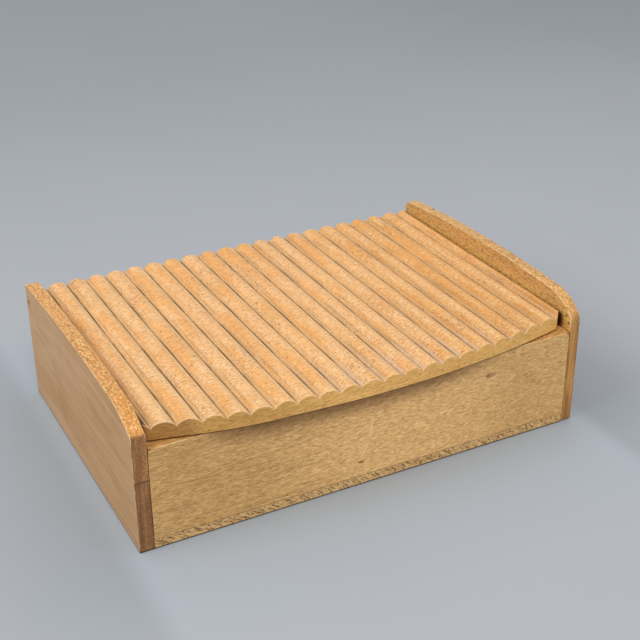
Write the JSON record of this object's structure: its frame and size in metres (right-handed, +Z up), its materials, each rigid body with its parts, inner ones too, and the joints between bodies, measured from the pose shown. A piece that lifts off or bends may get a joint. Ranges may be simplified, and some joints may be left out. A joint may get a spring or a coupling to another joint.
{
  "type": "playing card box",
  "caption": "Wooden playing card box with arched cheeks, a divided tray for decks and a reeded, bow-fronted lid that swings up on hinge nails.",
  "frame": {"origin": "middle of the underside, centred between the cheeks and between the case's front and back faces", "axes": "+Z up, +X to the right seen from the front, +Y to the back, so the lid's bowed edge faces -Y"},
  "size_m": [0.1608, 0.1134, 0.0484],
  "materials": {
    "cheek_wood": "worn satin beech",
    "panel_wood": "worn satin beech",
    "base_wood": "sawn bare beech",
    "lid_wood": "worn satin beech, reeded",
    "nail_steel": "dark oxidised steel"
  },
  "bodies": {
    "case": {"left_cheek_upper": "cheek_wood", "left_cheek_lower": "cheek_wood", "right_cheek": "cheek_wood", "front_panel": "panel_wood", "back_panel": "panel_wood", "base_board": "base_wood", "deck_divider": "base_wood", "left_hinge_nail": "nail_steel", "right_hinge_nail": "nail_steel", "base_nails": "nail_steel"},
    "lid": {"lid": "lid_wood"}
  },
  "joints": [
    {"name": "lid_hinge", "type": "hinge", "parent": "case", "child": "lid", "pos_m": [0, 0.051, 0.03795], "axis": [-1, 0, 0], "range_deg": [0, 100]}
  ]
}
